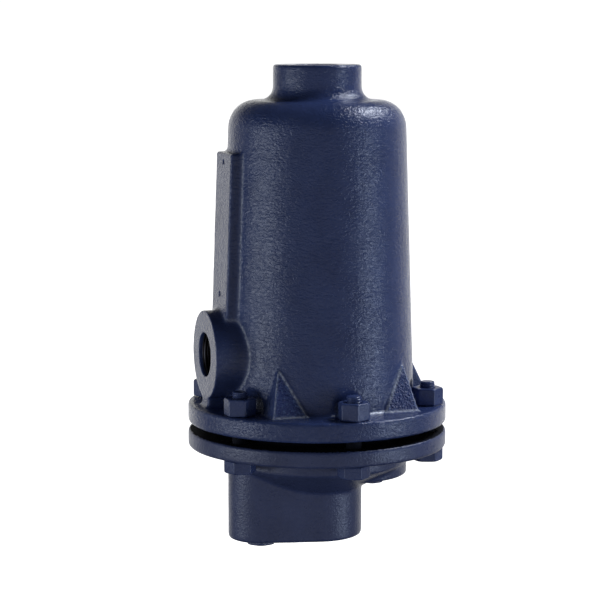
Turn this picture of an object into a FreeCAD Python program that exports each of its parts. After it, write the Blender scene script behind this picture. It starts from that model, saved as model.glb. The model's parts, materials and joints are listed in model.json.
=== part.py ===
import FreeCAD, Part
import math
import os

import Sketcher

# Float-operated steam trap, cast iron, hung in the pipework.
# Millimetres. Origin: centre of the outlet boss face on the main axis, +Z up.
# The side inlet looks toward -X. Six flange bolts, one of them at -Y.
# The float mechanism lies in the YZ plane: its fulcrum is behind the axis
# and the float hangs a little in front of it.

os.makedirs("parts", exist_ok=True)
doc = FreeCAD.newDocument("SteamTrap")
V = FreeCAD.Vector

# ---------------------------------------------------------------- dimensions
DIMS = [
    # flanged joint
    ("flange_radius", 81.3, "outer radius of both flanges"),
    ("body_flange_low", 73.5, "underside of the body flange"),
    ("body_flange_top", 85.8, "top of the body flange"),
    ("cap_flange_top", 68.6, "top of the cap flange"),
    ("cap_flange_low", 58.1, "underside of the cap flange"),
    ("raised_radius", 63.0, "outer radius of both raised faces"),
    ("body_joint_face", 71.55, "joint face of the body"),
    ("cap_joint_face", 70.55, "joint face of the cap and its inner floor"),
    ("flange_edge_round", 1.2, "rounding of the flange rims"),
    # bell
    ("bell_base_radius", 61.0, "bell radius at the flange"),
    ("bell_top_radius", 54.95, "bell radius below the shoulder"),
    ("shoulder_low", 257.0, "height where the shoulder starts"),
    ("shoulder_top", 274.5, "flat of the shoulder"),
    ("shoulder_round", 17.2, "shoulder rounding"),
    ("top_boss_radius", 27.6, "top boss"),
    ("top_boss_round", 8.0, "fillet under the top boss"),
    ("top_boss_edge", 1.6, "rounding of the top boss edge"),
    ("top_face", 296.3, "face of the top boss"),
    ("base_fillet", 2.0, "fillet between the bell and its flange"),
    # chamber
    ("chamber_base_radius", 51.0, "chamber radius at the joint"),
    ("chamber_top_radius", 47.6, "chamber radius under the roof"),
    ("chamber_roof", 266.0, "chamber roof"),
    ("chamber_round", 12.0, "rounding of the chamber roof"),
    # pipe threads, 3/4 inch
    ("pipe_bore_radius", 12.3, "tapped bore wall"),
    ("pipe_mouth_radius", 13.6, "countersunk mouth"),
    ("pipe_mouth_depth", 1.5, "countersink depth"),
    # side inlet
    ("port_face", 73.3, "distance of the side inlet face from the axis"),
    ("port_height", 118.1, "height of the side inlet axis"),
    ("port_radius", 27.5, "side inlet boss"),
    ("port_web_width", 15.0, "web under the side inlet"),
    # nameplate rib
    ("rib_half_width", 17.0, "half width of the rib"),
    ("rib_top", 242.8, "top of the rib"),
    ("rib_low", 120.0, "bottom of the rib, inside the port boss"),
    ("rib_face_top", 60.45, "distance of the rib face at its top"),
    ("rib_face_low", 64.8, "distance of the rib face at its bottom"),
    ("rib_pin_radius", 1.1, "drive pin holes"),
    ("rib_pin_upper", 237.1, "upper drive pin hole"),
    ("rib_pin_lower", 155.8, "lower drive pin hole"),
    # gussets
    ("gusset_base_front", 58.0, "front line of a gusset at the flange"),
    ("gusset_apex_front", 47.2, "front of a gusset at its apex"),
    ("gusset_apex_height", 113.0, "apex height"),
    ("gusset_side", 46.8, "outer side of a gusset at the flange"),
    ("gusset_inner", 25.0, "inner corner of a gusset at the flange"),
    ("gusset_apex_side", 40.6, "outer side of a gusset at its apex"),
    ("side_gusset_reach", 73.5, "reach of the side gusset on the flange"),
    ("side_gusset_width", 11.0, "width of the side gusset"),
    # bolting, 3/8 inch
    ("bolt_circle", 70.3, "bolt circle radius"),
    ("bolt_hole_radius", 5.4, "clearance holes"),
    ("bolt_shank_radius", 4.75, "bolt shank"),
    ("bolt_top", 100.2, "bolt ends"),
    ("bolt_head_low", 50.3, "bottom of the bolt heads"),
    ("hex_flats", 17.5, "width across flats"),
    ("nut_top", 96.4, "top of the nuts"),
    ("nut_bore_radius", 4.85, "nut bore"),
    ("scallop_radius", 14.0, "nut clearance pocket"),
    ("scallop_top", 94.0, "height where a pocket starts to close"),
    # cap underside
    ("cap_disc_radius", 57.0, "disc under the cap flange"),
    ("cap_disc_low", 48.1, "bottom of that disc"),
    ("cap_cone_radius", 53.5, "start of the cone"),
    ("cap_cone_top", 45.6, "cone height at its rim"),
    ("cap_cone_low", 31.6, "cone height at the outlet boss"),
    ("outlet_boss_radius", 28.4, "outlet boss"),
    ("drain_boss_radius", 20.6, "drain boss"),
    ("drain_offset", 37.2, "drain plug axis from the main axis"),
    ("boss_edge_round", 2.0, "rounding of the boss bottom edge"),
    ("test_boss_radius", 38.0, "round boss on the other side"),
    ("test_boss_offset", 20.0, "its centre from the main axis"),
    ("test_boss_low", 38.2, "its face"),
    ("test_offset", 36.8, "test plug axis from the main axis"),
    # drain plug, 3/8 inch pipe thread
    ("drain_thread_radius", 8.3, "drain plug thread"),
    ("drain_hole_radius", 8.4, "tapped hole for the drain plug"),
    ("drain_flats", 17.5, "drain plug head across flats"),
    ("drain_head_height", 9.4, "drain plug head height"),
    ("drain_thread_length", 11.0, "drain plug thread length"),
    ("drain_recess_radius", 11.6, "recess around the drain plug head"),
    ("drain_recess_depth", 5.2, "depth of that recess"),
    # test plug, 1/4 inch pipe thread
    ("test_thread_radius", 6.5, "test plug thread"),
    ("test_hole_radius", 6.6, "tapped hole for the test plug"),
    ("test_flats", 14.3, "test plug head across flats"),
    ("test_head_height", 7.8, "test plug head height"),
    ("test_thread_length", 10.0, "test plug thread length"),
    ("test_spot_radius", 8.35, "spot face around the test plug head"),
    ("drain_way_radius", 5.0, "drain drilling into the chamber"),
    ("test_way_radius", 3.0, "test drilling into the chamber"),
    # valve
    ("seat_offset", 8.0, "valve seat axis behind the main axis"),
    ("seat_thread_radius", 7.9, "seat thread"),
    ("seat_hole_radius", 8.0, "tapped hole for the seat"),
    ("seat_flats", 19.0, "seat across flats"),
    ("seat_hex_top", 77.4, "top of the seat hexagon"),
    ("seat_lip", 80.0, "top of the seat lip"),
    ("seat_lip_radius", 5.6, "seat lip"),
    ("orifice_radius", 3.2, "orifice"),
    ("seat_gasket_thick", 0.8, "copper washer"),
    ("outlet_way_radius", 7.0, "way from the seat to the outlet"),
    ("valve_radius", 5.0, "valve ball"),
    ("valve_gap", 0.25, "stand-off of the valve from the seat"),
    ("valve_stem_radius", 2.0, "valve stem"),
    # lever and fulcrum
    ("fulcrum_offset", 36.0, "fulcrum axis behind the main axis"),
    ("fulcrum_height", 84.0, "fulcrum axis height"),
    ("pin_radius", 2.5, "fulcrum pin"),
    ("eye_radius", 5.0, "lever eye outside"),
    ("eye_bore_radius", 2.55, "lever eye bore"),
    ("lever_low", 86.5, "underside of the lever"),
    ("lever_high", 89.0, "top of the lever"),
    ("lever_width", 12.0, "lever width"),
    ("lever_tip", 19.5, "lever tip in front of the axis"),
    ("ear_inner", 7.0, "inside of the bracket ears"),
    ("ear_thick", 2.5, "thickness of the bracket sheet"),
    ("ear_top", 90.5, "top of the ears"),
    ("ear_half", 6.0, "half length of the ears"),
    ("bracket_half_length", 19.5, "half length of the bracket foot"),
    ("bracket_half_width", 7.0, "half width of the bracket foot"),
    ("bracket_screw_offset", 14.8, "bracket screws from the centre"),
    ("screw_radius", 2.4, "small screws"),
    ("screw_hole_radius", 2.6, "small screw holes"),
    ("screw_head_radius", 4.2, "small screw heads"),
    ("screw_head_height", 3.0, "small screw head height"),
    ("washer_thick", 0.8, "lock washers"),
    # float
    ("float_offset", 12.0, "float axis in front of the main axis"),
    ("float_height", 131.0, "float centre"),
    ("float_radius", 35.0, "float outside radius"),
    ("float_wall", 0.9, "float sheet"),
    ("float_boss_radius", 7.0, "float boss"),
    ("float_screw_top", 94.6, "end of the float screw"),
]
sheet = doc.addObject("Spreadsheet::Sheet", "Dimensions")
sheet.Label = "Dimensions"
for i, (alias, value, note) in enumerate(DIMS, start=1):
    sheet.set("A%d" % i, alias)
    sheet.set("B%d" % i, repr(float(value)))
    sheet.set("C%d" % i, note)
    sheet.setAlias("B%d" % i, alias)
doc.recompute()
D = {a: float(v) for a, v, n in DIMS}


def ex(text):
    """Expression over the sheet: every alias gets its sheet name."""
    out, word = [], ""
    for ch in text + " ":
        if ch.isalnum() or ch == "_":
            word += ch
        else:
            if word:
                out.append("Dimensions." + word if word in D else word)
                word = ""
            out.append(ch)
    return "".join(out).strip()


def num(text):
    """The same expression as a number, for first placement of geometry."""
    toks, word = [], ""
    for ch in text + " ":
        if ch.isalnum() or ch in "_.":
            word += ch
        else:
            if word:
                toks.append(D[word] if word in D else float(word))
                word = ""
            if ch in "+-*/":
                toks.append(ch)
    total, sign, term, op = 0.0, 1.0, None, None
    for t in toks:
        if isinstance(t, float):
            if term is None:
                term = t
            elif op == "*":
                term *= t
            elif op == "/":
                term /= t
            op = None
        elif t in "*/":
            op = t
        else:
            if term is not None:
                total += sign * term
                term = None
            sign = 1.0 if t == "+" else -1.0
    if term is not None:
        total += sign * term
    return total


# ------------------------------------------------------------------ builders
def place(obj, x="0", y="0", z="0", rot=None):
    if rot is not None:
        obj.Placement = FreeCAD.Placement(V(0, 0, 0), rot)
    for axis, text in (("x", x), ("y", y), ("z", z)):
        obj.setExpression("Placement.Base." + axis, ex(text))
    return obj


def cyl(name, radius, height, x="0", y="0", z="0", rot=None):
    o = doc.addObject("Part::Cylinder", name)
    o.setExpression("Radius", ex(radius))
    o.setExpression("Height", ex(height))
    return place(o, x, y, z, rot)


def cone(name, r_low, r_high, height, x="0", y="0", z="0", rot=None):
    o = doc.addObject("Part::Cone", name)
    o.setExpression("Radius1", ex(r_low))
    o.setExpression("Radius2", ex(r_high))
    o.setExpression("Height", ex(height))
    return place(o, x, y, z, rot)


def box(name, length, width, height, x="0", y="0", z="0"):
    o = doc.addObject("Part::Box", name)
    o.setExpression("Length", ex(length))
    o.setExpression("Width", ex(width))
    o.setExpression("Height", ex(height))
    return place(o, x, y, z)


def ball(name, radius, x="0", y="0", z="0"):
    o = doc.addObject("Part::Sphere", name)
    o.setExpression("Radius", ex(radius))
    return place(o, x, y, z)


def prism(name, flats, height, x="0", y="0", z="0", turn=0.0):
    o = doc.addObject("Part::Prism", name)
    o.Polygon = 6
    o.setExpression("Circumradius", ex(flats) + " * 0.57735")
    o.setExpression("Height", ex(height))
    return place(o, x, y, z, FreeCAD.Rotation(V(0, 0, 1), turn))


def fuse(name, shapes):
    o = doc.addObject("Part::MultiFuse", name)
    o.Shapes = shapes
    o.Refine = True
    return o


def cut(name, base, tools):
    o = doc.addObject("Part::Cut", name)
    o.Base = base
    o.Tool = tools if not isinstance(tools, list) else fuse(name + "_tools", tools) if len(tools) > 1 else tools[0]
    o.Refine = True
    return o


def common(name, shapes):
    o = doc.addObject("Part::MultiCommon", name)
    o.Shapes = shapes
    o.Refine = True
    return o


def group(name, shapes):
    o = doc.addObject("Part::Compound", name)
    o.Links = shapes
    return o


ROT_XZ = FreeCAD.Rotation(V(1, 0, 0), 90)      # sketch x, y -> X, Z
ROT_YZ = FreeCAD.Rotation(V(1, 1, 1), 120)     # sketch x, y -> Y, Z


def outline(name, corners, rot=ROT_XZ, rounds=None, owner=None):
    """Closed outline of straight sides. Each corner is a pair of expressions
    bound to the sheet; rounds maps a corner number to its radius."""
    sk = (owner.newObject if owner else doc.addObject)("Sketcher::SketchObject", name)
    sk.Placement = FreeCAD.Placement(V(0, 0, 0), rot)
    pts = [(num(a), num(b)) for a, b in corners]
    n = len(pts)
    for i in range(n):
        p, q = pts[i], pts[(i + 1) % n]
        sk.addGeometry(Part.LineSegment(V(p[0], p[1], 0), V(q[0], q[1], 0)), False)
    for i in range(n):
        sk.addConstraint(Sketcher.Constraint("Coincident", i, 2, (i + 1) % n, 1))
    for i in range(n):
        for kind, k in (("DistanceX", 0), ("DistanceY", 1)):
            v = pts[i][k]
            if abs(v) < 1e-9:
                sk.addConstraint(Sketcher.Constraint("PointOnObject", i, 1, -2 if k == 0 else -1))
            else:
                c = sk.addConstraint(Sketcher.Constraint(kind, -1, 1, i, 1, v))
                sk.setExpression("Constraints[%d]" % c, ex(corners[i][k]))
    doc.recompute()
    for i in sorted(rounds or {}):
        radius = rounds[i]
        sk.fillet(i, 1, num(radius), True, True)
        arc = sk.GeometryCount - 1
        while not isinstance(sk.Geometry[arc], Part.ArcOfCircle):
            arc -= 1
        c = sk.addConstraint(Sketcher.Constraint("Radius", arc, num(radius)))
        sk.setExpression("Constraints[%d]" % c, ex(radius))
    doc.recompute()
    return sk


def spin(name, sketch):
    o = doc.addObject("Part::Revolution", name)
    o.Source = sketch
    o.Axis = V(0, 0, 1)
    o.Base = V(0, 0, 0)
    o.Angle = 360.0
    o.Solid = True
    return o


def extrude(name, sketch, length, direction, symmetric=True):
    o = doc.addObject("Part::Extrusion", name)
    o.Base = sketch
    o.DirMode = "Custom"
    o.Dir = direction
    o.setExpression("LengthFwd", ex(length))
    o.Symmetric = symmetric
    o.Solid = True
    return o


SUBPARTS = []


def subpart(obj, label):
    obj.Label = label
    SUBPARTS.append(obj)
    return obj


BOLTS = []
for k in range(6):
    a = math.radians(-90 + 60 * k)
    BOLTS.append((k, -90 + 60 * k, "bolt_circle * %.6f" % math.cos(a), "bolt_circle * %.6f" % math.sin(a)))

TO_MINUS_X = FreeCAD.Rotation(V(0, 1, 0), -90)
TO_PLUS_X = FreeCAD.Rotation(V(0, 1, 0), 90)

# ---------------------------------------------------------------------- body
shell = spin("body_shell", outline("body_outline", [
    ("0", "body_joint_face"),
    ("raised_radius", "body_joint_face"),
    ("raised_radius", "body_flange_low"),
    ("flange_radius", "body_flange_low"),
    ("flange_radius", "body_flange_top"),
    ("bell_base_radius", "body_flange_top"),
    ("bell_top_radius", "shoulder_low + 17.5"),
    ("top_boss_radius", "shoulder_top"),
    ("top_boss_radius", "top_face"),
    ("0", "top_face"),
], rounds={3: "flange_edge_round", 4: "flange_edge_round", 5: "base_fillet",
           6: "shoulder_round", 7: "top_boss_round", 8: "top_boss_edge"}))
chamber = spin("body_chamber", outline("chamber_outline", [
    ("0", "body_joint_face - 1"),
    ("chamber_base_radius", "body_joint_face - 1"),
    ("chamber_top_radius", "chamber_roof"),
    ("0", "chamber_roof"),
], rounds={2: "chamber_round"}))
port = cyl("port_boss", "port_radius", "port_face - 40", x="0 - 40", z="port_height", rot=TO_MINUS_X)
web = box("port_web", "port_face - 45", "port_web_width", "port_height - body_flange_top",
          x="0 - port_face", y="0 - port_web_width / 2", z="body_flange_top")
rib = extrude("rib_block", outline("rib_outline", [
    ("0 - rib_face_low", "rib_low"),
    ("0 - 40", "rib_low"),
    ("0 - 40", "rib_top"),
    ("0 - rib_face_top", "rib_top"),
]), "rib_half_width * 2", V(0, 1, 0))
gussets = []
for gx in (-1, 1):
    for gy in (-1, 1):
        # a wedge drawn in Y: sloping front face, slightly tapering outer side
        sgn = "0 - " if gy < 0 else "0 + "
        wedge = extrude("gusset_slope_%d%d" % (gx + 1, gy + 1), outline("gusset_profile_%d%d" % (gx + 1, gy + 1), [
            (sgn + "25", "body_flange_top"),
            (sgn + "gusset_base_front", "body_flange_top"),
            (sgn + "gusset_apex_front", "gusset_apex_height"),
            (sgn + "25", "gusset_apex_height"),
        ], rot=ROT_YZ), "50", V(gx, 0, 0), symmetric=False)
        sx = "0 - " if gx < 0 else "0 + "
        side = extrude("gusset_side_%d%d" % (gx + 1, gy + 1), outline("gusset_plan_%d%d" % (gx + 1, gy + 1), [
            (sx + "gusset_inner", "body_flange_top"),
            (sx + "gusset_side", "body_flange_top"),
            (sx + "gusset_apex_side", "gusset_apex_height"),
            (sx + "gusset_apex_side" + (" + 1" if gx < 0 else " - 1"), "gusset_apex_height"),
        ]), "60", V(0, gy, 0), symmetric=False)
        gussets.append(common("gusset_%d%d" % (gx + 1, gy + 1), [wedge, side]))
side_gusset = extrude("side_gusset", outline("side_gusset_profile", [
    ("50", "body_flange_top"),
    ("side_gusset_reach", "body_flange_top"),
    ("59", "gusset_apex_height + 2"),
    ("50", "gusset_apex_height + 2"),
]), "side_gusset_width", V(0, 1, 0))
cast = fuse("body_cast", [shell, port, web, rib, side_gusset] + gussets)

tools = [chamber]
tools.append(cyl("top_bore", "pipe_bore_radius", "top_face - chamber_roof + 4", z="chamber_roof - 2"))
tools.append(cone("top_mouth", "pipe_bore_radius", "pipe_mouth_radius", "pipe_mouth_depth",
                  z="top_face - pipe_mouth_depth"))
tools.append(cyl("side_bore", "pipe_bore_radius", "port_face - 30", x="0 - 31", z="port_height", rot=TO_MINUS_X))
tools.append(cone("side_mouth", "pipe_bore_radius", "pipe_mouth_radius", "pipe_mouth_depth",
                  x="pipe_mouth_depth - port_face", z="port_height", rot=TO_MINUS_X))
for k, deg, bx, by in BOLTS:
    tools.append(cyl("body_bolt_hole_%d" % k, "bolt_hole_radius", "body_flange_top - body_joint_face + 4",
                     x=bx, y=by, z="body_joint_face - 2"))
    tools.append(cyl("scallop_%d" % k, "scallop_radius", "scallop_top - body_flange_top", x=bx, y=by, z="body_flange_top"))
    tools.append(cone("scallop_roof_%d" % k, "scallop_radius", "scallop_radius - 8", "15", x=bx, y=by, z="scallop_top"))
for z in ("rib_pin_upper", "rib_pin_lower"):
    tools.append(cyl("drive_pin_hole_" + z, "rib_pin_radius", "10", x="0 - 57", z=z, rot=TO_MINUS_X))
subpart(cut("body", cast, tools), "body")

# ----------------------------------------------------------------------- cap
disc = spin("cap_disc", outline("cap_outline", [
    ("0", "cap_cone_low"),
    ("outlet_boss_radius", "cap_cone_low"),
    ("cap_cone_radius", "cap_cone_top"),
    ("cap_disc_radius", "cap_disc_low"),
    ("cap_disc_radius", "cap_flange_low"),
    ("flange_radius", "cap_flange_low"),
    ("flange_radius", "cap_flange_top"),
    ("raised_radius", "cap_flange_top"),
    ("raised_radius", "cap_joint_face"),
    ("0", "cap_joint_face"),
], rounds={5: "flange_edge_round", 6: "flange_edge_round"}))
outlet_boss = spin("outlet_boss", outline("outlet_boss_outline", [
    ("0", "0"), ("outlet_boss_radius", "0"), ("outlet_boss_radius", "cap_flange_low"), ("0", "cap_flange_low"),
], rounds={1: "boss_edge_round"}))
drain_boss_spin = spin("drain_boss_round", outline("drain_boss_outline", [
    ("0", "0"), ("drain_boss_radius", "0"), ("drain_boss_radius", "cap_flange_low"), ("0", "cap_flange_low"),
], rounds={1: "boss_edge_round"}))
drain_boss = doc.addObject("Part::MultiFuse", "drain_boss")
holder = doc.addObject("Part::Compound", "drain_boss_at")
holder.Links = [drain_boss_spin]
place(holder, x="0 - drain_offset")
drain_seed = cyl("drain_seed", "drain_boss_radius - boss_edge_round", "cap_flange_low - 1", x="0 - drain_offset", z="1")
drain_boss.Shapes = [holder, drain_seed]
# tangent bridge between the two round bosses: a tapering block whose sides
# touch both circles, with its lower edges rounded like theirs
big, small, off = D["outlet_boss_radius"], D["drain_boss_radius"], D["drain_offset"]
slope = math.asin((big - small) / off)


def bridge_plan(name, inset):
    """Plan of the tangent bridge, drawn in by inset on both sides."""
    rb, rs = "(outlet_boss_radius%s)" % inset, "(drain_boss_radius%s)" % inset
    rbn = D["outlet_boss_radius"] - (D["boss_edge_round"] if inset else 0)
    rsn = D["drain_boss_radius"] - (D["boss_edge_round"] if inset else 0)
    sn, cs = math.sin(slope), math.cos(slope)
    sk = doc.addObject("Sketcher::SketchObject", name)
    raw = [(-rbn * sn, rbn * cs), (-off - rsn * sn, rsn * cs),
           (-off - rsn * sn, -rsn * cs), (-rbn * sn, -rbn * cs)]
    exprs = [("0 - %s * %.8f" % (rb, sn), "%s * %.8f" % (rb, cs)),
             ("0 - drain_offset - %s * %.8f" % (rs, sn), "%s * %.8f" % (rs, cs)),
             ("0 - drain_offset - %s * %.8f" % (rs, sn), "0 - %s * %.8f" % (rs, cs)),
             ("0 - %s * %.8f" % (rb, sn), "0 - %s * %.8f" % (rb, cs))]
    for i in range(4):
        p, q = raw[i], raw[(i + 1) % 4]
        sk.addGeometry(Part.LineSegment(V(p[0], p[1], 0), V(q[0], q[1], 0)), False)
    for i in range(4):
        sk.addConstraint(Sketcher.Constraint("Coincident", i, 2, (i + 1) % 4, 1))
    for i in range(4):
        for kind, k in (("DistanceX", 0), ("DistanceY", 1)):
            c = sk.addConstraint(Sketcher.Constraint(kind, -1, 1, i, 1, raw[i][k]))
            sk.setExpression("Constraints[%d]" % c, ex(exprs[i][k]))
    return sk


bridge = extrude("boss_bridge", bridge_plan("bridge_plan", ""), "cap_flange_low", V(0, 0, 1), symmetric=False)
doc.recompute()
bridge_round = doc.addObject("Part::Fillet", "boss_bridge_round")
bridge_round.Base = bridge
picks = []
for n, e in enumerate(bridge.Shape.Edges, start=1):
    mid = e.BoundBox.Center
    if abs(mid.z) < 1e-6 and abs(mid.y) > 5:
        picks.append((n, D["boss_edge_round"], D["boss_edge_round"]))
bridge_round.Edges = picks
test_boss = cyl("test_boss", "test_boss_radius", "cap_flange_low - test_boss_low", x="test_boss_offset", z="test_boss_low")
cap_cast = fuse("cap_cast", [disc, outlet_boss, drain_boss, bridge_round, test_boss])

tools = [
    cyl("outlet_bore", "pipe_bore_radius", "24", z="0 - 1"),
    cyl("outlet_way", "outlet_way_radius", "40", y="4.5", z="20"),
    cyl("seat_hole", "seat_hole_radius", "cap_joint_face - 56 + 1", y="seat_offset", z="56"),
    cyl("drain_recess", "drain_recess_radius", "drain_recess_depth + 1", x="0 - drain_offset", z="0 - 1"),
    cyl("drain_hole", "drain_hole_radius", "14", x="0 - drain_offset", z="drain_recess_depth - 1"),
    cyl("drain_way", "drain_way_radius", "cap_joint_face", x="0 - drain_offset", z="10"),
    cyl("test_hole", "test_hole_radius", "13", x="test_offset", z="test_boss_low - 1"),
    cyl("test_spot", "test_spot_radius", "test_boss_low - 25", x="test_offset", z="25"),
    cyl("test_way", "test_way_radius", "cap_joint_face - 45", x="test_offset", z="50"),
]
for s in (-1, 1):
    tools.append(cyl("cap_screw_hole_%d" % (s + 1), "screw_radius + 0.05", "12",
                     x="%d * bracket_screw_offset" % s, y="fulcrum_offset", z="cap_joint_face - 11"))
for k, deg, bx, by in BOLTS:
    tools.append(cyl("cap_bolt_hole_%d" % k, "bolt_hole_radius", "20", x=bx, y=by, z="cap_flange_low - 4"))
subpart(cut("cap", cap_cast, tools), "cap")

# -------------------------------------------------------------- flange joint
# gasket ring, as a padded sketch of two circles
gasket = doc.addObject("PartDesign::Body", "body_gasket")
gsk = gasket.newObject("Sketcher::SketchObject", "gasket_plan")
plane = [f for f in gasket.Origin.OriginFeatures if f.Role == "XY_Plane"][0]
gsk.AttachmentSupport = [(plane, "")]
gsk.MapMode = "FlatFace"
gsk.addGeometry(Part.Circle(V(0, 0, 0), V(0, 0, 1), D["raised_radius"] - 0.8), False)
gsk.addGeometry(Part.Circle(V(0, 0, 0), V(0, 0, 1), D["chamber_base_radius"] + 0.6), False)
for g in (0, 1):
    gsk.addConstraint(Sketcher.Constraint("Coincident", g, 3, -1, 1))
c = gsk.addConstraint(Sketcher.Constraint("Radius", 0, D["raised_radius"] - 0.8))
gsk.setExpression("Constraints[%d]" % c, ex("raised_radius - 0.8"))
c = gsk.addConstraint(Sketcher.Constraint("Radius", 1, D["chamber_base_radius"] + 0.6))
gsk.setExpression("Constraints[%d]" % c, ex("chamber_base_radius + 0.6"))
pad = gasket.newObject("PartDesign::Pad", "gasket_pad")
pad.Profile = gsk
pad.setExpression("Length", ex("body_joint_face - cap_joint_face"))
gasket.Tip = pad
gasket.setExpression("Placement.Base.z", ex("cap_joint_face"))
doc.recompute()
subpart(gasket, "body_gasket")

bolts, nuts = [], []
NUT_TURN = (-6, 5, -11, 9, 14, 3)        # each nut stopped where it was tight
for k, deg, bx, by in BOLTS:
    head = common("bolt_head_%d" % k, [
        prism("bolt_hex_%d" % k, "hex_flats", "cap_flange_low - bolt_head_low", x=bx, y=by, z="bolt_head_low", turn=deg + 8 + 3 * k),
        cone("bolt_chamfer_%d" % k, "hex_flats * 0.52", "hex_flats * 0.52 + 12", "12", x=bx, y=by, z="bolt_head_low"),
    ])
    shank = cone("bolt_end_%d" % k, "bolt_shank_radius", "bolt_shank_radius - 0.6", "0.6", x=bx, y=by, z="bolt_top - 0.6")
    stem = cyl("bolt_shank_%d" % k, "bolt_shank_radius", "bolt_top - 0.6 - bolt_head_low - 2", x=bx, y=by, z="bolt_head_low + 2")
    bolts.append(fuse("bolt_%d" % k, [head, shank, stem]))
    hexa = common("nut_blank_%d" % k, [
        prism("nut_hex_%d" % k, "hex_flats", "nut_top - body_flange_top", x=bx, y=by, z="body_flange_top", turn=deg + NUT_TURN[k]),
        cone("nut_chamfer_%d" % k, "hex_flats * 0.52 + 12", "hex_flats * 0.52", "12", x=bx, y=by, z="nut_top - 12"),
    ])
    nuts.append(cut("nut_%d" % k, hexa, cyl("nut_bore_%d" % k, "nut_bore_radius", "14", x=bx, y=by, z="body_flange_top - 1")))
subpart(group("flange_bolts", bolts), "flange_bolts")
subpart(group("flange_nuts", nuts), "flange_nuts")


# --------------------------------------------------------------------- plugs
def plug(name, kind, x, face):
    """Hexagon-headed taper plug hanging from a boss; face is where its head
    meets the casting, and kind selects the drain or the test sizes."""
    head = common(name + "_head", [
        prism(name + "_hex", kind + "_flats", kind + "_head_height", x=x, z=face + " - " + kind + "_head_height", turn=15),
        cone(name + "_chamfer", kind + "_flats * 0.50", kind + "_flats * 0.50 + 14", "14", x=x,
             z=face + " - " + kind + "_head_height"),
    ])
    thread = cone(name + "_thread", kind + "_thread_radius", kind + "_thread_radius - 0.4", kind + "_thread_length",
                  x=x, z=face)
    return subpart(fuse(name, [head, thread]), name)


plug("drain_plug", "drain", "0 - drain_offset", "drain_recess_depth")
plug("test_plug", "test", "test_offset", "test_boss_low")

# --------------------------------------------------------------- valve group
seat_blank = fuse("seat_blank", [
    cyl("seat_thread", "seat_thread_radius", "cap_joint_face + seat_gasket_thick - 58.5", y="seat_offset", z="58.5"),
    prism("seat_hex", "seat_flats", "seat_hex_top - cap_joint_face - seat_gasket_thick",
          y="seat_offset", z="cap_joint_face + seat_gasket_thick", turn=0),
    cone("seat_nose", "seat_lip_radius + 1.2", "seat_lip_radius", "seat_lip - seat_hex_top", y="seat_offset", z="seat_hex_top"),
])
subpart(cut("valve_seat", seat_blank, [
    cyl("seat_orifice", "orifice_radius", "30", y="seat_offset", z="55"),
    cyl("seat_relief", "orifice_radius + 1.6", "14", y="seat_offset", z="57.5"),
]), "valve_seat")
subpart(cut("seat_gasket",
            cyl("seat_gasket_disc", "seat_hole_radius + 2.4", "seat_gasket_thick", y="seat_offset", z="cap_joint_face"),
            cyl("seat_gasket_hole", "seat_hole_radius", "3", y="seat_offset", z="cap_joint_face - 1")), "seat_gasket")

# valve: a ball segment with a shoulder under the lever and a stem through it
ball_z = math.sqrt(D["valve_radius"] ** 2 - D["orifice_radius"] ** 2)
ball_at = "seat_lip + %.5f + valve_gap" % ball_z
valve_ball = common("valve_ball_cut", [
    ball("valve_ball", "valve_radius", y="seat_offset", z=ball_at),
    cyl("valve_keep", "valve_radius + 1", "6.2", y="seat_offset", z="seat_lip - 2"),
])
subpart(fuse("valve", [
    valve_ball,
    cyl("valve_collar", "valve_radius - 0.4", "lever_low - seat_lip - 4", y="seat_offset", z="seat_lip + 4"),
    cyl("valve_stem", "valve_stem_radius", "lever_high + 3.4 - seat_lip - 4", y="seat_offset", z="seat_lip + 4"),
]), "valve")
subpart(cut("valve_retainer",
            prism("retainer_hex", "7", "2.8", y="seat_offset", z="lever_high", turn=30),
            cyl("retainer_bore", "valve_stem_radius + 0.03", "6", y="seat_offset", z="lever_high - 1")), "valve_retainer")

# lever: flat strip with a rolled eye
lever_strip = box("lever_strip", "lever_width", "fulcrum_offset + lever_tip - 7", "lever_high - lever_low",
                  x="0 - lever_width / 2", y="7 - lever_tip", z="lever_low")
lever_nose = cyl("lever_nose", "lever_width / 2", "lever_high - lever_low", y="0 - float_offset", z="lever_low")
lever_neck = box("lever_neck", "lever_width", "4", "lever_high - lever_low",
                 x="0 - lever_width / 2", y="4 - lever_tip + 3", z="lever_low")
lever_eye = cyl("lever_eye", "eye_radius", "lever_width", x="0 - lever_width / 2", y="fulcrum_offset", z="fulcrum_height", rot=TO_PLUS_X)
subpart(cut("lever", fuse("lever_blank", [lever_strip, lever_nose, lever_neck, lever_eye]), [
    cyl("lever_eye_bore", "eye_bore_radius", "30", x="0 - 15", y="fulcrum_offset", z="fulcrum_height", rot=TO_PLUS_X),
    cyl("lever_valve_hole", "valve_stem_radius + 0.05", "6", y="seat_offset", z="lever_low - 2"),
    cyl("lever_float_hole", "screw_radius + 0.1", "6", y="0 - float_offset", z="lever_low - 2"),
]), "lever")

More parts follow.
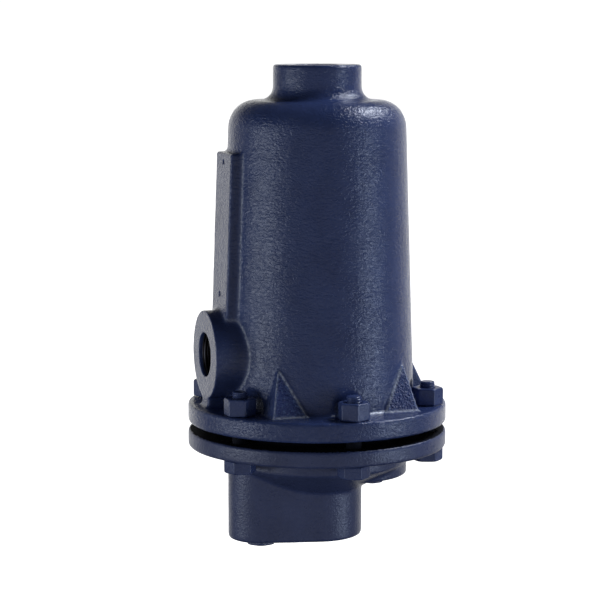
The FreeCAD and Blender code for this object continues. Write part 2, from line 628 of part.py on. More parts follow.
# bracket: a folded stainless foot with two ears
foot = box("bracket_foot", "bracket_half_length * 2", "bracket_half_width * 2", "ear_thick",
           x="0 - bracket_half_length", y="fulcrum_offset - bracket_half_width", z="cap_joint_face")
ears = []
for s, x0 in ((-1, "0 - ear_inner - ear_thick"), (1, "ear_inner")):
    blade = box("ear_%d" % (s + 1), "ear_thick", "ear_half * 2", "fulcrum_height - cap_joint_face",
                x=x0, y="fulcrum_offset - ear_half", z="cap_joint_face")
    crown = cyl("ear_crown_%d" % (s + 1), "ear_half", "ear_thick", x=x0, y="fulcrum_offset", z="fulcrum_height", rot=TO_PLUS_X)
    ears += [blade, crown]
bracket_tools = [cyl("ear_bore", "pin_radius + 0.02", "40", x="0 - 20", y="fulcrum_offset", z="fulcrum_height", rot=TO_PLUS_X)]
for s in (-1, 1):
    bracket_tools.append(cyl("foot_hole_%d" % (s + 1), "screw_hole_radius", "8", x="%d * bracket_screw_offset" % s,
                             y="fulcrum_offset", z="cap_joint_face - 2"))
subpart(cut("fulcrum_bracket", fuse("bracket_blank", [foot] + ears), bracket_tools), "fulcrum_bracket")

subpart(cut("fulcrum_pin", fuse("pin_blank", [
    cyl("pin_rod", "pin_radius", "ear_inner * 2 + ear_thick * 2 + 3.2", x="0 - ear_inner - ear_thick - 0.5",
        y="fulcrum_offset", z="fulcrum_height", rot=TO_PLUS_X),
    cyl("pin_head", "pin_radius + 1.5", "1.6", x="0 - ear_inner - ear_thick - 1.7", y="fulcrum_offset",
        z="fulcrum_height", rot=TO_PLUS_X),
]), cut("pin_groove", cyl("pin_groove_out", "pin_radius + 1", "0.9", x="ear_inner + ear_thick + 0.3", y="fulcrum_offset",
                          z="fulcrum_height", rot=TO_PLUS_X),
        cyl("pin_groove_core", "pin_radius - 0.6", "2", x="ear_inner + ear_thick - 0.2", y="fulcrum_offset",
            z="fulcrum_height", rot=TO_PLUS_X))), "fulcrum_pin")
subpart(cut("pin_clip", cyl("clip_disc", "pin_radius + 2", "0.7", x="ear_inner + ear_thick + 0.4", y="fulcrum_offset",
                            z="fulcrum_height", rot=TO_PLUS_X), [
    cyl("clip_bore", "pin_radius - 0.55", "2", x="ear_inner + ear_thick - 0.2", y="fulcrum_offset",
        z="fulcrum_height", rot=TO_PLUS_X),
    box("clip_mouth", "3", "6", "pin_radius * 2 - 1.6", x="ear_inner + ear_thick - 0.6", y="fulcrum_offset",
        z="fulcrum_height - pin_radius + 0.8"),
]), "pin_clip")

screws, washers = [], []
for s in (-1, 1):
    at = dict(x="%d * bracket_screw_offset" % s, y="fulcrum_offset")
    base = "cap_joint_face + ear_thick"
    screws.append(fuse("bracket_screw_%d" % (s + 1), [
        cyl("bracket_screw_shank_%d" % (s + 1), "screw_radius", "12", z=base + " - 12 + washer_thick + 0.5", **at),
        prism("bracket_screw_head_%d" % (s + 1), "8", "screw_head_height", z=base + " + washer_thick", turn=10.0 * s, **at),
    ]))
    washers.append(cut("bracket_washer_%d" % (s + 1),
                       cyl("bracket_washer_disc_%d" % (s + 1), "screw_head_radius", "washer_thick", z=base, **at),
                       cyl("bracket_washer_hole_%d" % (s + 1), "screw_radius + 0.1", "4", z=base + " - 1", **at)))
subpart(group("bracket_screws", screws), "bracket_screws")
subpart(group("bracket_washers", washers), "bracket_washers")

# --------------------------------------------------------------------- float
fy = "0 - float_offset"


def half_ball(name, upper):
    outer = ball(name + "_outer", "float_radius", y=fy, z="float_height")
    inner = ball(name + "_inner", "float_radius - float_wall", y=fy, z="float_height")
    keep = box(name + "_keep", "float_radius * 2 + 4", "float_radius * 2 + 4", "float_radius + 2",
               x="0 - float_radius - 2", y="0 - float_offset - float_radius - 2",
               z="float_height" if upper else "float_height - float_radius - 2")
    return subpart(common(name, [cut(name + "_skin", outer, inner), keep]), name)


half_ball("float_lower_shell", False)
half_ball("float_upper_shell", True)
subpart(cut("float_boss", cyl("float_boss_blank", "float_boss_radius", "float_height - float_radius - lever_high + 1.2",
                              y=fy, z="lever_high"), [
    ball("float_boss_seat", "float_radius + 0.02", y=fy, z="float_height"),
    cyl("float_boss_tap", "screw_radius + 0.05", "float_screw_top - lever_high + 1.3", y=fy, z="lever_high - 1"),
]), "float_boss")
subpart(fuse("float_screw", [
    cyl("float_screw_shank", "screw_radius", "float_screw_top - lever_low + washer_thick + 0.5", y=fy,
        z="lever_low - washer_thick - 0.5"),
    prism("float_screw_head", "8", "screw_head_height", y=fy, z="lever_low - washer_thick - screw_head_height", turn=10),
]), "float_screw")
subpart(cut("float_washer",
            cyl("float_washer_disc", "screw_head_radius", "washer_thick", y=fy, z="lever_low - washer_thick"),
            cyl("float_washer_hole", "screw_radius + 0.1", "4", y=fy, z="lever_low - 3")), "float_washer")

# -------------------------------------------------------- check, then export
doc.recompute()
bad = []
for o in doc.Objects:
    if any(w in o.State for w in ("Invalid", "Error")):
        bad.append("%s: %s" % (o.Name, o.State))
for o in SUBPARTS:
    if o.Shape.isNull() or not o.Shape.isValid() or not o.Shape.Solids:
        bad.append("%s: no valid solid" % o.Label)
if bad:
    raise SystemExit("model not written:\n" + "\n".join(bad))
for o in SUBPARTS:
    o.Shape.exportStep("parts/%s.step" % o.Label)
    b = o.Shape.BoundBox
    print("%-20s solids %d volume %10.1f  box %.1f..%.1f %.1f..%.1f %.1f..%.1f" % (
        o.Label, len(o.Shape.Solids), o.Shape.Volume, b.XMin, b.XMax, b.YMin, b.YMax, b.ZMin, b.ZMax))
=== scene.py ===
import json
import math

import bmesh
import bpy
import numpy as np
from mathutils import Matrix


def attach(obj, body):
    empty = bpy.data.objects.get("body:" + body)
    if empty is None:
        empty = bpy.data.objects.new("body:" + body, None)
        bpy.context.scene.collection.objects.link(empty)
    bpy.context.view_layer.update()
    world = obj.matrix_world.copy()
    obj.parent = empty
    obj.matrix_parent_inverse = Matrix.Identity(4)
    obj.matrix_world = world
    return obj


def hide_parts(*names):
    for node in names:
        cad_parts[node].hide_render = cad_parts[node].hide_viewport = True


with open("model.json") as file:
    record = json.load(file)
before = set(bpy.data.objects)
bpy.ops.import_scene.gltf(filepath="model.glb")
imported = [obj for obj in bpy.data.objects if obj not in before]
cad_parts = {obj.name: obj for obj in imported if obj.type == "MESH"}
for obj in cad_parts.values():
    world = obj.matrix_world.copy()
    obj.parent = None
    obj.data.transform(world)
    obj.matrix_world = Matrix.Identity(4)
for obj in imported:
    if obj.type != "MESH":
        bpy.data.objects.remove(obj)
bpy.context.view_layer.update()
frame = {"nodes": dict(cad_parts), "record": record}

import openvdb
from mathutils import Vector

N = frame["nodes"]
scene = bpy.context.scene
MM = 0.001

# ------------------------------------------------------------------ materials


def new_material(name):
    m = bpy.data.materials.new(name)
    m.use_nodes = True
    nt = m.node_tree
    nt.nodes.clear()
    out = nt.nodes.new("ShaderNodeOutputMaterial")
    sh = nt.nodes.new("ShaderNodeBsdfPrincipled")
    nt.links.new(sh.outputs["BSDF"], out.inputs["Surface"])
    return m, nt, sh


def tex(nt, kind, **values):
    n = nt.nodes.new("ShaderNodeTex" + kind)
    for k, v in values.items():
        if k in n.inputs:
            n.inputs[k].default_value = v
        else:
            setattr(n, k, v)
    return n


def coords(nt):
    return nt.nodes.new("ShaderNodeTexCoord").outputs["Object"]


def mapped(nt, source, scale=(1, 1, 1), rotation=(0, 0, 0)):
    n = nt.nodes.new("ShaderNodeMapping")
    n.inputs["Scale"].default_value = scale
    n.inputs["Rotation"].default_value = rotation
    nt.links.new(source, n.inputs["Vector"])
    return n.outputs["Vector"]


def math_node(nt, op, a, b=None, clamp=False):
    n = nt.nodes.new("ShaderNodeMath")
    n.operation = op
    n.use_clamp = clamp
    for i, v in enumerate((a, b)):
        if v is None:
            continue
        if isinstance(v, (int, float)):
            n.inputs[i].default_value = v
        else:
            nt.links.new(v, n.inputs[i])
    return n.outputs[0]


def ramp(nt, fac, stops):
    n = nt.nodes.new("ShaderNodeValToRGB")
    n.color_ramp.elements[0].position = stops[0][0]
    n.color_ramp.elements[0].color = stops[0][1]
    n.color_ramp.elements[1].position = stops[-1][0]
    n.color_ramp.elements[1].color = stops[-1][1]
    for p, c in stops[1:-1]:
        e = n.color_ramp.elements.new(p)
        e.color = c
    nt.links.new(fac, n.inputs["Fac"])
    return n.outputs["Color"]


def bump(nt, height, distance, strength=1.0, normal=None):
    n = nt.nodes.new("ShaderNodeBump")
    n.inputs["Strength"].default_value = strength
    n.inputs["Distance"].default_value = distance
    nt.links.new(height, n.inputs["Height"])
    if normal is not None:
        nt.links.new(normal, n.inputs["Normal"])
    return n.outputs["Normal"]


def grey(v, a=1.0):
    return (v, v, v, a)


def mix_colour(nt, fac, a, b):
    n = nt.nodes.new("ShaderNodeMix")
    n.data_type = "RGBA"
    nt.links.new(fac, n.inputs["Factor"])
    for socket, v in ((n.inputs[6], a), (n.inputs[7], b)):
        if isinstance(v, tuple):
            socket.default_value = v
        else:
            nt.links.new(v, socket)
    return n.outputs[2]


def painted_iron(name, base, dark, light, rough=0.16, grain=1.0, leather=1.0, glint_threshold=0.66, glint_scale=1500.0, glint_mix=0.40):
    """Navy paint over a sand-cast skin: colour drift, painted glint spots, orange peel,
    sand grain, a painted highlight on the sharp edges and painted highlight lines along edges and fillets."""
    m, nt, sh = new_material(name)
    co = coords(nt)
    drift = tex(nt, "Noise", Scale=38.0, Detail=4.0, Roughness=0.6)
    nt.links.new(co, drift.inputs["Vector"])
    colour = ramp(nt, drift.outputs["Fac"], [(0.30, dark), (0.5, base), (0.72, light)])
    # painted highlight: convex edges made lighter, broken up by noise
    geo = nt.nodes.new("ShaderNodeNewGeometry")
    edge = ramp(nt, geo.outputs["Pointiness"], [(0.53, grey(0.0)), (0.60, grey(1.0))])
    broken = tex(nt, "Noise", Scale=520.0, Detail=3.0, Roughness=0.7)
    nt.links.new(co, broken.inputs["Vector"])
    edge_highlight = math_node(nt, "MULTIPLY", edge, ramp(nt, broken.outputs["Fac"], [(0.40, grey(0.0)), (0.62, grey(0.55))]))
    colour = mix_colour(nt, edge_highlight, colour, (light[0] * 2.1, light[1] * 2.0, light[2] * 1.6, 1.0))
    # painted highlight lines along the gusset edges and fillets, read from a per-vertex attribute
    painted_highlight_lines = nt.nodes.new("ShaderNodeAttribute")
    painted_highlight_lines.attribute_name = "painted_highlight_lines"
    painted_highlight_fac = math_node(nt, "MULTIPLY", painted_highlight_lines.outputs["Fac"], ramp(nt, broken.outputs["Fac"], [(0.34, grey(0.25)), (0.58, grey(1.0))]))
    colour = mix_colour(nt, painted_highlight_fac, colour, (0.72, 0.78, 0.92, 1.0))
    # painted glints: light spots standing in for the sparkle of the sand grain
    glint_noise = tex(nt, "Noise", Scale=glint_scale, Detail=2.0, Roughness=0.7)
    nt.links.new(co, glint_noise.inputs["Vector"])
    glint_spots = ramp(nt, glint_noise.outputs["Fac"], [(glint_threshold, grey(0.0)), (glint_threshold + 0.08, grey(glint_mix))])
    colour = mix_colour(nt, glint_spots, colour, (light[0] * 2.4, light[1] * 2.2, light[2] * 1.5, 1.0))
    nt.links.new(colour, sh.inputs["Base Color"])
    sh.inputs["IOR"].default_value = 1.5
    # slow waves of the thick paint, then the sand skin under it
    peel = tex(nt, "Noise", Scale=350.0, Detail=3.0, Roughness=0.55, Distortion=1.2)
    nt.links.new(mapped(nt, co, (0.75, 0.75, 1.7)), peel.inputs["Vector"])
    sand = tex(nt, "Voronoi", Scale=760.0, feature="SMOOTH_F1", Smoothness=0.6)
    nt.links.new(co, sand.inputs["Vector"])
    fine = tex(nt, "Noise", Scale=1500.0, Detail=3.0, Roughness=0.6)
    nt.links.new(co, fine.inputs["Vector"])
    n1 = bump(nt, peel.outputs["Fac"], 0.00050 * leather)
    n2 = bump(nt, sand.outputs["Distance"], 0.00013 * grain, normal=n1)
    n3 = bump(nt, fine.outputs["Fac"], 0.00010 * grain, normal=n2)
    nt.links.new(n3, sh.inputs["Normal"])
    r0 = tex(nt, "Noise", Scale=120.0, Detail=4.0, Roughness=0.6)
    nt.links.new(co, r0.inputs["Vector"])
    rr = math_node(nt, "MULTIPLY_ADD", r0.outputs["Fac"], 0.20)
    rr.node.inputs[2].default_value = rough - 0.10
    nt.links.new(rr, sh.inputs["Roughness"])
    return m


def metal(name, colour, rough, brush=(1, 1, 1), scale=900.0, depth=0.00002):
    m, nt, sh = new_material(name)
    co = coords(nt)
    sh.inputs["Metallic"].default_value = 1.0
    drift = tex(nt, "Noise", Scale=90.0, Detail=3.0)
    nt.links.new(co, drift.inputs["Vector"])
    d = tuple(c * 0.82 for c in colour) + (1,)
    l = tuple(min(1, c * 1.08) for c in colour) + (1,)
    nt.links.new(ramp(nt, drift.outputs["Fac"], [(0.3, d), (0.7, l)]), sh.inputs["Base Color"])
    marks = tex(nt, "Noise", Scale=scale, Detail=3.0, Roughness=0.6)
    nt.links.new(mapped(nt, co, brush), marks.inputs["Vector"])
    nt.links.new(bump(nt, marks.outputs["Fac"], depth), sh.inputs["Normal"])
    rr = math_node(nt, "MULTIPLY_ADD", marks.outputs["Fac"], 0.18)
    rr.node.inputs[2].default_value = rough - 0.09
    nt.links.new(rr, sh.inputs["Roughness"])
    return m


NAVY = (0.044, 0.068, 0.186, 1)
NAVY_D = (0.036, 0.056, 0.158, 1)
NAVY_L = (0.053, 0.080, 0.212, 1)
MAT = {
    "cast_paint": painted_iron("cast_paint", NAVY, NAVY_D, NAVY_L),
    "cast_smooth": painted_iron("cast_smooth", (0.050, 0.068, 0.165, 1), (0.041, 0.056, 0.140, 1), (0.059, 0.079, 0.188, 1),
                                rough=0.30, grain=1.2, leather=0.45),
    "bolt_paint": painted_iron("bolt_paint", NAVY, NAVY_D, NAVY_L, rough=0.28, grain=0.5, leather=0.4),
    "stainless": metal("stainless", (0.56, 0.55, 0.53), 0.30, brush=(1, 0.08, 1)),
    "hard_stainless": metal("hard_stainless", (0.48, 0.47, 0.46), 0.24, brush=(0.2, 0.2, 4)),
    "spring_steel": metal("spring_steel", (0.33, 0.33, 0.34), 0.36),
    "copper_washer": metal("copper_washer", (0.72, 0.38, 0.24), 0.34),
    "float_sheet": metal("float_sheet", (0.60, 0.60, 0.60), 0.22, brush=(1, 1, 0.05), scale=1300.0, depth=0.000008),
}
m, nt, sh = new_material("gasket_sheet")
co = coords(nt)
speck = tex(nt, "Noise", Scale=1500.0, Detail=4.0, Roughness=0.7)
nt.links.new(co, speck.inputs["Vector"])
nt.links.new(ramp(nt, speck.outputs["Fac"], [(0.35, grey(0.018)), (0.7, grey(0.06))]), sh.inputs["Base Color"])
nt.links.new(bump(nt, speck.outputs["Fac"], 0.00005), sh.inputs["Normal"])
sh.inputs["Roughness"].default_value = 0.85
MAT["gasket_sheet"] = m
MAT["cast_grain"] = painted_iron("cast_grain", (0.034, 0.060, 0.215, 1), (0.028, 0.050, 0.180, 1), (0.050, 0.085, 0.290, 1),
                                 rough=0.36, grain=6.0, leather=0.5, glint_threshold=0.56, glint_scale=620.0, glint_mix=1.0)
# painted shade: near-black paint with little reflection for the faces inside the joint between the flanges
MAT["gap_painted_shade"] = painted_iron("gap_painted_shade", (0.006, 0.007, 0.014, 1), (0.004, 0.005, 0.009, 1), (0.010, 0.011, 0.020, 1),
                               rough=0.75, grain=1.2, leather=0.4)
for n in MAT["gap_painted_shade"].node_tree.nodes:
    if n.type == "BSDF_PRINCIPLED":
        n.inputs["Specular IOR Level"].default_value = 0.15
# thread metal: dark iron, made near-black as painted shade for the inside of the bores
MAT["thread_iron_and_shade"] = metal("thread_iron_and_shade", (0.042, 0.040, 0.045), 0.42, scale=700.0, depth=0.00006)

SLOT = {s["node"]: s["material_slot"] for s in frame["record"]["subparts"]}
for name, obj in N.items():
    obj.data.materials.clear()
    obj.data.materials.append(MAT[SLOT[name]])

# ------------------------------------------------------------------- castings
# The painted pieces are rebuilt from the CAD node's own surface as a distance
# field, in millimetres: inside corners are filled as a pattern maker would,
# outside edges are eased, the skin gets the slight waviness of a sand casting,
# and what is machined afterwards is cut crisp. Only material is taken away at
# the outside, so every piece stays within its node's box.


def node_surface(name):
    obj = N[name]
    me = obj.data
    co = np.empty(len(me.vertices) * 3, np.float64)
    me.vertices.foreach_get("co", co)
    mat = np.array(obj.matrix_world)
    co = (co.reshape(-1, 3) @ mat[:3, :3].T + mat[:3, 3]) / MM
    me.calc_loop_triangles()
    tri = np.empty(len(me.loop_triangles) * 3, np.int32)
    me.loop_triangles.foreach_get("vertices", tri)
    return co, tri.reshape(-1, 3)


def ease(a, passes):
    """Smooth the field, a 1-2-1 kernel along each axis."""
    for _ in range(passes):
        for ax in range(3):
            v = np.moveaxis(a, ax, 0)
            mid = 0.5 * v[1:-1] + 0.25 * (v[:-2] + v[2:])
            v[1:-1] = mid
    return a


def lumps(shape, cell, seed):
    """Smooth noise from 0 to 1 with bumps about cell voxels apart."""
    rng = np.random.default_rng(seed)
    g = rng.random([int(n / cell) + 3 for n in shape]).astype(np.float32)
    for ax, n in enumerate(shape):
        t = np.arange(n) / cell
        i = t.astype(int)
        f = (t - i)
        f = (f * f * (3 - 2 * f)).astype(np.float32)
        f = f.reshape([n if k == ax else 1 for k in range(3)])
        g = np.take(g, i, axis=ax) * (1 - f) + np.take(g, i + 1, axis=ax) * f
    return g


def mesh_piece(name, pts, faces, mat):
    me = bpy.data.meshes.new(name)
    k = faces.shape[1]
    me.vertices.add(len(pts))
    me.vertices.foreach_set("co", (pts * MM).astype(np.float32).ravel())
    me.loops.add(len(faces) * k)
    me.loops.foreach_set("vertex_index", faces.astype(np.int32).ravel())
    me.polygons.add(len(faces))
    me.polygons.foreach_set("loop_start", (np.arange(len(faces)) * k).astype(np.int32))
    me.update(calc_edges=True)
    me.validate()
    me.polygons.foreach_set("use_smooth", np.ones(len(me.polygons), bool))
    me.materials.append(mat)
    obj = bpy.data.objects.new(name, me)
    scene.collection.objects.link(obj)
    return obj


def outward(pts, quads):
    """Faces wound so that the enclosed volume is positive."""
    a, b, c, d = (pts[quads[:, k]] for k in range(4))
    vol = np.einsum("ij,ij->i", a, np.cross(b, c)).sum() + np.einsum("ij,ij->i", a, np.cross(c, d)).sum()
    return quads if vol > 0 else quads[:, ::-1]


def cast_piece(name, pts, tris, vox, close, passes, mat, before=None, after=None, skin=()):
    half = close / vox + 3.2
    step = openvdb.createLinearTransform(voxelSize=vox)
    grid = openvdb.FloatGrid.createLevelSetFromPolygons(
        pts.astype(np.float32), triangles=tris.astype(np.uint32), transform=step, halfWidth=half)
    if close > 0:
        p, q = grid.convertToQuads(isovalue=close)
        grid = openvdb.FloatGrid.createLevelSetFromPolygons(p, quads=q, transform=step, halfWidth=half)
    lo, hi = grid.evalActiveVoxelBoundingBox()
    lo = [v - 2 for v in lo]
    dims = [hi[k] - lo[k] + 3 for k in range(3)]
    a = np.empty(dims, np.float32)
    grid.copyToArray(a, ijk=tuple(lo))
    a += close
    X, Y, Z = (((np.arange(dims[k]) + lo[k]) * vox).astype(np.float32).reshape(
        [-1 if j == k else 1 for j in range(3)]) for k in range(3))
    if before:
        a = before(a, X, Y, Z)
    a = ease(a, passes)
    for amount, cell, seed in skin:
        a += amount * lumps(a.shape, cell / vox, seed)
    if after:
        a = after(a, X, Y, Z)
    edge = 2.6 * vox
    np.clip(a, -edge, edge, out=a)
    out = openvdb.FloatGrid(edge)
    out.copyFromArray(np.ascontiguousarray(a, np.float32), ijk=tuple(lo))
    out.transform = step
    p, q = out.convertToQuads(isovalue=0.0)
    p = np.asarray(p, np.float64)
    return mesh_piece(name, p, outward(p, np.asarray(q, np.int64)), mat)


def keep_smaller(a, *fields):
    for f in fields:
        a = np.minimum(a, f)
    return a


def cut_away(a, *fields):
    """Remove what each field encloses."""
    for f in fields:
        a = np.maximum(a, -f)
    return a


def tube(u, v, radius):
    return np.sqrt(u * u + v * v) - radius


THREAD_R = 13.6


def body_before(a, X, Y, Z):
    # the side boss is cast long and faced afterwards
    stub = np.maximum(tube(Y, Z - 118.1, 27.5), np.maximum(X + 62.0, -78.0 - X))
    return keep_smaller(a, stub)


def gusset_planes(X, Y, Z):
    """Signed distances to a gusset's front, outer side and inner side."""
    t = (Z - 85.8) / 27.2
    front = (np.abs(Y) - (58.0 - 10.8 * t)) / 1.076
    outer = (np.abs(X) - (46.8 - 6.2 * t)) / 1.026
    inner = ((25.0 + 14.6 * t) - np.abs(X)) / 1.135
    return front, outer, inner


def body_after(a, X, Y, Z):
    a = cut_away(a, np.maximum(X + 73.25, 87.5 - Z))
    front, outer, inner = gusset_planes(X, Y, Z)
    gusset = np.maximum(np.maximum(np.maximum(front, outer), inner),
                        np.maximum(np.maximum(Z - 113.0, 84.5 - Z), 25.0 - np.abs(Y)))
    a = keep_smaller(a, gusset + 0.12 + 0.05 * lumps(a.shape, 2.4 / 0.85, 9))
    side = np.maximum(tube(Y, Z - 118.1, THREAD_R), np.maximum(X + 40.0, -90.0 - X))
    top = np.maximum(tube(X, Y, THREAD_R), 258.0 - Z)
    a = cut_away(a, side, top)
    for z in (237.1, 155.8):
        a = cut_away(a, np.maximum(tube(Y, Z - z, 1.25), X + 55.0))
    # spot faces under the nuts
    for k in range(6):
        t = math.radians(-90 + 60 * k)
        bx, by = 70.3 * math.cos(t), 70.3 * math.sin(t)
        spot = np.maximum(tube(X - bx, Y - by, 10.9), np.maximum(85.65 - Z, Z - 95.0))
        a = cut_away(a, spot)
    return a


def cap_after(a, X, Y, Z):
    bore = np.maximum(tube(X, Y, THREAD_R), np.maximum(-5.0 - Z, Z - 22.0))
    return cut_away(a, bore)


pts, tris = node_surface("body")
body = cast_piece("casting_bell", pts, tris, 0.85, 0.9, 1, MAT["cast_paint"], body_before, body_after,
                  skin=((0.09, 11.0, 5), (0.06, 3.6, 6), (0.035, 1.9, 7)))
def centres(me):
    c = np.empty(len(me.polygons) * 3, np.float32)
    me.polygons.foreach_get("center", c)
    return c.reshape(-1, 3) / MM


def in_gap(c):
    """Faces inside the joint between the two flanges, where no light or paint gets; they are given a near-black painted
    shade.
    """
    return (np.hypot(c[:, 0], c[:, 1]) < 80.0) & (c[:, 2] > 68.2) & (c[:, 2] < 73.9)


# the gusset faces keep the coarser grain of the loose pattern pieces
body.data.materials.append(MAT["cast_grain"])
# the faces inside the flange joint take the near-black painted shade
body.data.materials.append(MAT["gap_painted_shade"])
me = body.data
mid = centres(me)
front, outer, inner = gusset_planes(mid[:, 0], mid[:, 1], mid[:, 2])
on_face = (np.abs(front + 0.12) < 0.35) & (outer < -0.1) & (inner < -0.1) & (mid[:, 2] > 86.2) & (mid[:, 2] < 112.6)
me.polygons.foreach_set("material_index", np.where(in_gap(mid), 2, on_face.astype(np.int32)).astype(np.int32))
# painted highlight lines, stored per vertex: along the gusset edges and on the bell's fillet at the flange between the
# front nut and the right gusset
co = np.empty(len(me.vertices) * 3, np.float32)
me.vertices.foreach_get("co", co)
co = co.reshape(-1, 3) / MM
front, outer, inner = gusset_planes(co[:, 0], co[:, 1], co[:, 2])
low = 86.4 - co[:, 2]
near = np.minimum(np.minimum(
    np.where((inner < 0.5) & (low < 0.5), np.hypot(front, outer), 9.0),
    np.where((outer < 0.5) & (low < 0.5), np.hypot(front, inner), 9.0)),
    np.where((outer < 0.5) & (inner < 0.5), np.hypot(front, low), 9.0))
bell_fillet_highlight = np.hypot(np.hypot(co[:, 0], co[:, 1]) - 61.6, co[:, 2] - 86.9)
bell_fillet_highlight = np.where((co[:, 0] > 11.0) & (co[:, 0] < 26.0) & (co[:, 1] < 0.0), bell_fillet_highlight, 9.0)
near = np.minimum(near, bell_fillet_highlight)
painted_highlight_lines = np.where(co[:, 2] < 114.0, np.exp(-(near / 0.65) ** 2), 0.0)
# a fainter painted highlight line round the base of the side boss
boss_fillet_highlight = np.where((np.abs(co[:, 1]) > 12.0) & (co[:, 0] < -45.0), np.abs(np.hypot(co[:, 1], co[:, 2] - 118.1) - 28.7), 9.0)
painted_highlight_lines = np.maximum(painted_highlight_lines, 0.34 * np.exp(-(boss_fillet_highlight / 0.6) ** 2))
# and a faint painted highlight line along each side of the rib's base
rib_base_highlight = np.where((co[:, 2] > 148.0) & (co[:, 2] < 242.0) & (co[:, 0] < -45.0), np.abs(np.abs(co[:, 1]) - 18.0), 9.0)
painted_highlight_lines = np.maximum(painted_highlight_lines, 0.22 * np.exp(-(rib_base_highlight / 0.5) ** 2))
me.attributes.new("painted_highlight_lines", "FLOAT", "POINT").data.foreach_set("value", painted_highlight_lines.astype(np.float32))
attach(body, "housing")
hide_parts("body")

pts, tris = node_surface("cap")
cap = cast_piece("casting_cap", pts, tris, 0.85, 1.2, 1, MAT["cast_smooth"], None, cap_after,
                 skin=((0.09, 11.0, 15), (0.05, 3.6, 16), (0.03, 1.9, 17)))
# the cap's faces inside the flange joint take the near-black painted shade
cap.data.materials.append(MAT["gap_painted_shade"])
cap.data.polygons.foreach_set("material_index", in_gap(centres(cap.data)).astype(np.int32))
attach(cap, "housing")
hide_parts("cap")


def pipe_thread(name, start, axis, side, length, r_low=12.32, r_high=13.42, pitch=1.814, seg=144):
    """Ring with an inside pipe thread. start is the face, axis points inward."""
    start, axis, side = Vector(start), Vector(axis).normalized(), Vector(side).normalized()
    other = axis.cross(side)
    steps = int(length / pitch * 9)
    rows = []
    for i in range(steps + 1):
        u = 0.12 + (length - 0.12) * i / steps
        row = []
        for j in range(seg):
            t = 2 * math.pi * j / seg
            ph = (u / pitch - j / seg) % 1.0
            saw = 1 - abs(2 * ph - 1)
            saw = min(max((saw - 0.10) / 0.80, 0.0), 1.0)
            r = r_low + (r_high - r_low) * saw
            r = max(r, 13.62 - max(u - 0.12, 0.0) * 0.95)
            row.append(start + axis * u + (side * math.cos(t) + other * math.sin(t)) * min(r, 13.62))
        rows.append(row)
    for u, r in ((length, 14.1), (0.12, 14.1)):
        rows.append([start + axis * u + (side * math.cos(2 * math.pi * j / seg) + other * math.sin(2 * math.pi * j / seg)) * r
                     for j in range(seg)])
    p = np.array([[c for c in v] for row in rows for v in row])
    q = []
    n = len(rows)
    for i in range(n):
        for j in range(seg):
            a, b = i * seg + j, i * seg + (j + 1) % seg
            c, d = ((i + 1) % n) * seg + (j + 1) % seg, ((i + 1) % n) * seg + j
            q.append((a, b, c, d))
    q = np.array(q)
    o = mesh_piece(name, p, outward(p, q), MAT["thread_iron_and_shade"])
    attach(o, "housing")
    return o


pipe_thread("thread_side", (-71.2, 0, 118.1), (1, 0, 0), (0, 1, 0), 19.0)
pipe_thread("thread_top", (0, 0, 294.2), (0, 0, -1), (1, 0, 0), 22.0)
pipe_thread("thread_outlet", (0, 0, 0.0), (0, 0, 1), (1, 0, 0), 20.5)


# ------------------------------------------------------------------ fasteners
def by_bolt(pts, tris, k):
    c = pts[tris].mean(axis=1)
    near = np.round((np.degrees(np.arctan2(c[:, 1], c[:, 0])) + 90.0) / 60.0).astype(int) % 6
    t = tris[near == k]
    used, inv = np.unique(t, return_inverse=True)
    return pts[used], inv.reshape(-1, 3)


def bolt_after(k):
    t = math.radians(-90 + 60 * k)
    bx, by = 70.3 * math.cos(t), 70.3 * math.sin(t)

    def after(a, X, Y, Z):
        r = tube(X - bx, Y - by, 0.0)
        turn = np.arctan2(Y - by, X - bx) / (2 * math.pi)
        w = 0.5 - 0.5 * np.cos(2 * math.pi * (Z / 1.588 - turn + 0.13 * k))
        return np.maximum(a, np.where(Z > 84.0, (r - (4.75 - 0.62 * w)) * 0.8, -9.0).astype(np.float32))
    return after


b_pts, b_tris = node_surface("flange_bolts")
n_pts, n_tris = node_surface("flange_nuts")
for k in range(6):
    p, t = by_bolt(b_pts, b_tris, k)
    o = cast_piece("bolt_%d" % (k + 1), p, t, 0.30, 0.0, 2, MAT["bolt_paint"], None, bolt_after(k), skin=((0.05, 1.4, 30 + k),))
    # the shank inside the flange joint takes the near-black painted shade
    o.data.materials.append(MAT["gap_painted_shade"])
    o.data.polygons.foreach_set("material_index", (np.abs(centres(o.data)[:, 2] - 71.0) < 4.0).astype(np.int32))
    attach(o, "housing")
    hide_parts("flange_bolts")
    p, t = by_bolt(n_pts, n_tris, k)
    o = cast_piece("nut_%d" % (k + 1), p, t, 0.30, 0.0, 3, MAT["bolt_paint"], None, None, skin=((0.05, 1.6, 40 + k),))
    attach(o, "housing")
    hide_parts("flange_nuts")
for n, name in enumerate(("drain_plug", "test_plug")):
    p, t = node_surface(name)
    o = cast_piece(name + "_painted", p, t, 0.35, 0.0, 3, MAT["cast_paint"], None, None, skin=((0.05, 1.6, 50 + n),))
    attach(o, "housing")
    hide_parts(name)

# ---------------------------------------------------------------------- stage


def disc_mesh(name, radius, z, rings=6, seg=96):
    me = bpy.data.meshes.new(name)
    bm = bmesh.new()
    bmesh.ops.create_circle(bm, cap_ends=True, radius=radius, segments=seg)
    bmesh.ops.translate(bm, verts=bm.verts, vec=(0, 0, z))
    bm.to_mesh(me)
    bm.free()
    o = bpy.data.objects.new(name, me)
    scene.collection.objects.link(o)
    return o


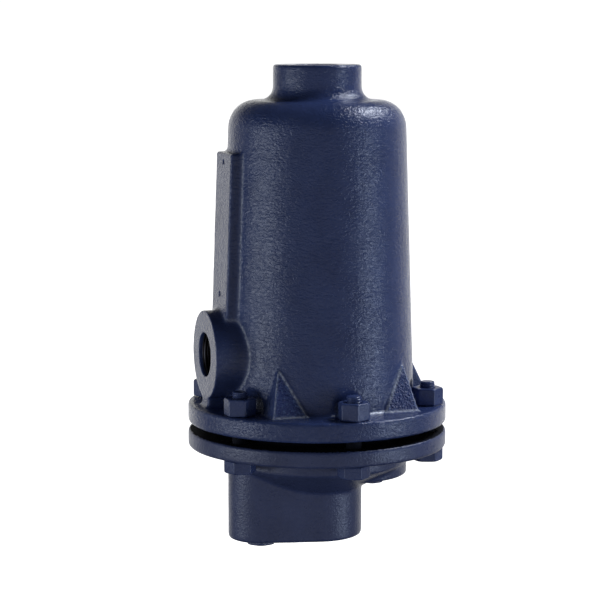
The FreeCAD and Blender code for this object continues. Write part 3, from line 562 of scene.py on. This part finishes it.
floor = disc_mesh("floor", 14.0, -0.32)
m, nt, sh = new_material("floor_white")
sh.inputs["Base Color"].default_value = (0.80, 0.80, 0.80, 1)
sh.inputs["Roughness"].default_value = 0.9
sh.inputs["Emission Color"].default_value = (1, 1, 1, 1)
sh.inputs["Emission Strength"].default_value = 1.3
floor.data.materials.append(m)
floor.visible_diffuse = False
floor.visible_glossy = False

# camera: fitted to the object's own features
TH = math.radians(17.91)
cam_data = bpy.data.cameras.new("camera")
cam_data.lens = 2069.1 / 600.0 * 36.0
cam_data.sensor_width = 36.0
cam_data.clip_end = 100.0
cam = bpy.data.objects.new("camera", cam_data)
cam.rotation_euler = (math.radians(90.0 - 7.60), 0.0, -TH)
cx, dh, hc = -10.7 * MM, 1287.3 * MM, 320.9 * MM
cam.location = (cx * math.cos(TH) - dh * math.sin(TH), -cx * math.sin(TH) - dh * math.cos(TH), hc)
scene.collection.objects.link(cam)
scene.camera = cam

# ---------------------------------------------------------------------- light
world = bpy.data.worlds.new("studio")
scene.world = world
world.use_nodes = True
wt = world.node_tree
wt.nodes.clear()
w_out = wt.nodes.new("ShaderNodeOutputWorld")
w_bg = wt.nodes.new("ShaderNodeBackground")
wt.links.new(w_bg.outputs[0], w_out.inputs["Surface"])
w_co = wt.nodes.new("ShaderNodeTexCoord")
w_dot = wt.nodes.new("ShaderNodeVectorMath")
w_dot.operation = "DOT_PRODUCT"
w_dot.inputs[1].default_value = (math.sin(TH), math.cos(TH), 0.0)
wt.links.new(w_co.outputs["Generated"], w_dot.inputs[0])


def w_range(value, lo, hi, a, b):
    n = wt.nodes.new("ShaderNodeMapRange")
    n.interpolation_type = "SMOOTHSTEP"
    for key, v in (("From Min", lo), ("From Max", hi), ("To Min", a), ("To Max", b)):
        n.inputs[key].default_value = v
    wt.links.new(value, n.inputs["Value"])
    return n.outputs["Result"]


w_sep = wt.nodes.new("ShaderNodeSeparateXYZ")
wt.links.new(w_co.outputs["Generated"], w_sep.inputs[0])
w_back = w_range(w_dot.outputs["Value"], 0.38, 1.0, 0.18, 1.02)
w_low = w_range(w_sep.outputs["Z"], -0.80, -0.25, 0.10, 1.0)
w_high = w_range(w_sep.outputs["Z"], 0.08, 0.46, 1.0, 0.10)
w_all = math_node(wt, "MULTIPLY", math_node(wt, "MULTIPLY", w_back, w_low), w_high)
# a dim pale panel below the horizon, on the side the object is seen from
w_panel = math_node(wt, "MULTIPLY", w_range(w_sep.outputs["Z"], -0.24, -0.05, 0.30, 0.0),
                    w_range(w_dot.outputs["Value"], -0.2, 0.2, 1.0, 0.0))
w_panel = math_node(wt, "MULTIPLY", w_panel, w_range(w_sep.outputs["Z"], -0.75, -0.45, 0.0, 1.0))
w_all = math_node(wt, "ADD", w_all, w_panel)
w_path = wt.nodes.new("ShaderNodeLightPath")
w_mix = wt.nodes.new("ShaderNodeMix")
w_mix.data_type = "FLOAT"
wt.links.new(w_path.outputs["Is Camera Ray"], w_mix.inputs["Factor"])
wt.links.new(w_all, w_mix.inputs["A"])
w_mix.inputs["B"].default_value = 1.05
w_bg.inputs["Color"].default_value = (1, 1, 1, 1)
wt.links.new(w_mix.outputs["Result"], w_bg.inputs["Strength"])

CENTRE = Vector((0, 0, 0.15))


def softbox(name, az, el, dist, size_x, size_y, power, tint=(1.0, 1.0, 1.0), aim=CENTRE):
    """az is measured from the camera's side of the object, positive to its right."""
    a = math.radians(az) - TH
    e = math.radians(el)
    d = Vector((math.sin(a) * math.cos(e), -math.cos(a) * math.cos(e), math.sin(e)))
    data = bpy.data.lights.new(name, "AREA")
    data.shape = "RECTANGLE"
    data.size, data.size_y = size_x, size_y
    data.energy = power
    data.color = tint
    o = bpy.data.objects.new(name, data)
    o.location = aim + d * dist
    o.rotation_mode = "QUATERNION"
    o.rotation_quaternion = d.to_track_quat("Z", "Y")
    scene.collection.objects.link(o)
    return o


softbox("box_left", -70, -3, 1.2, 0.88, 0.41, 3.3, tint=(0.88, 0.97, 1.10))
softbox("box_right", 69, -9, 1.2, 0.26, 0.60, 2.7, tint=(0.78, 0.94, 1.22))
softbox("box_top", 112, 50, 1.3, 0.62, 0.40, 11.3, tint=(0.92, 0.98, 1.10))
scene.view_settings.view_transform = "Standard"
scene.view_settings.look = "None"
